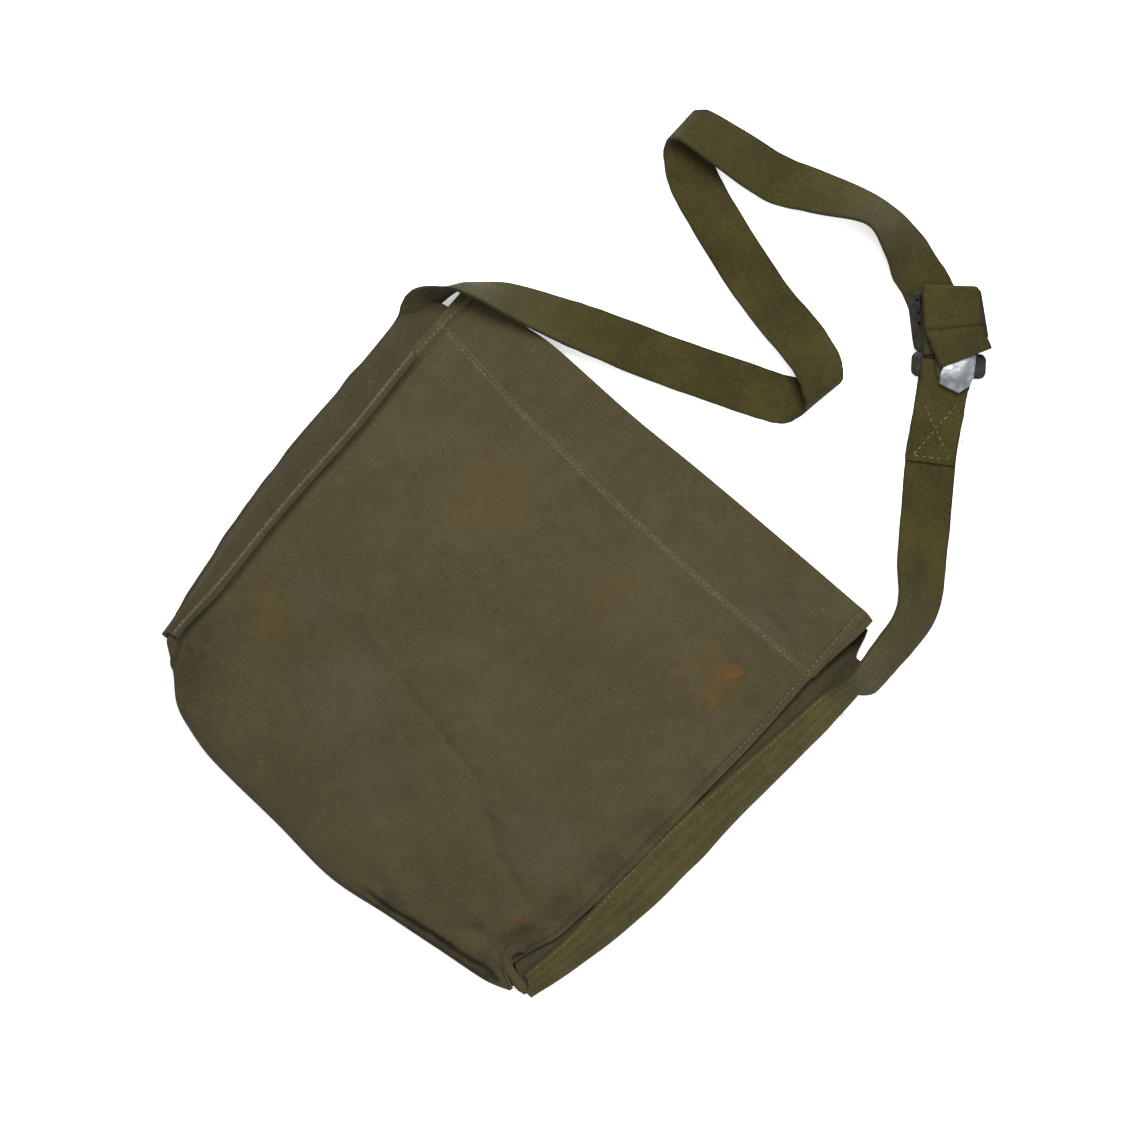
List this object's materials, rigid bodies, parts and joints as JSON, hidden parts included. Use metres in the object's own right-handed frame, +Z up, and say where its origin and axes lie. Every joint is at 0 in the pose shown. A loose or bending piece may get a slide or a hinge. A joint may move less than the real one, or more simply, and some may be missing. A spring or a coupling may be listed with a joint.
{
  "type": "canvas field bag",
  "caption": "Flat olive canvas shoulder bag lying on its back, open at a deep hemmed mouth, with collapsed side gussets and a webbing strap closed by a steel buckle.",
  "frame": {"origin": "on the flat underside of the back panel, under the middle of the bag as it lies", "axes": "+Z up out of the front panel, +Y towards the mouth, +X across the bag to the right as seen from above"},
  "size_m": [0.4053, 0.5717, 0.0341],
  "materials": {
    "canvas": "heavy plain-weave cotton canvas, brown olive, faded and spotted with rust",
    "webbing": "ribbed cotton webbing, green olive",
    "black_steel": "blackened pressed steel, worn at the edges",
    "bright_steel": "bright zinc-plated sheet, dented"
  },
  "bodies": {
    "root": {"body_canvas": "canvas", "gusset_left": "canvas", "gusset_right": "canvas", "strap_long": "webbing", "strap_short": "webbing", "buckle_frame": "black_steel", "buckle_bar": "black_steel", "strap_tip": "bright_steel"}
  },
  "joints": []
}
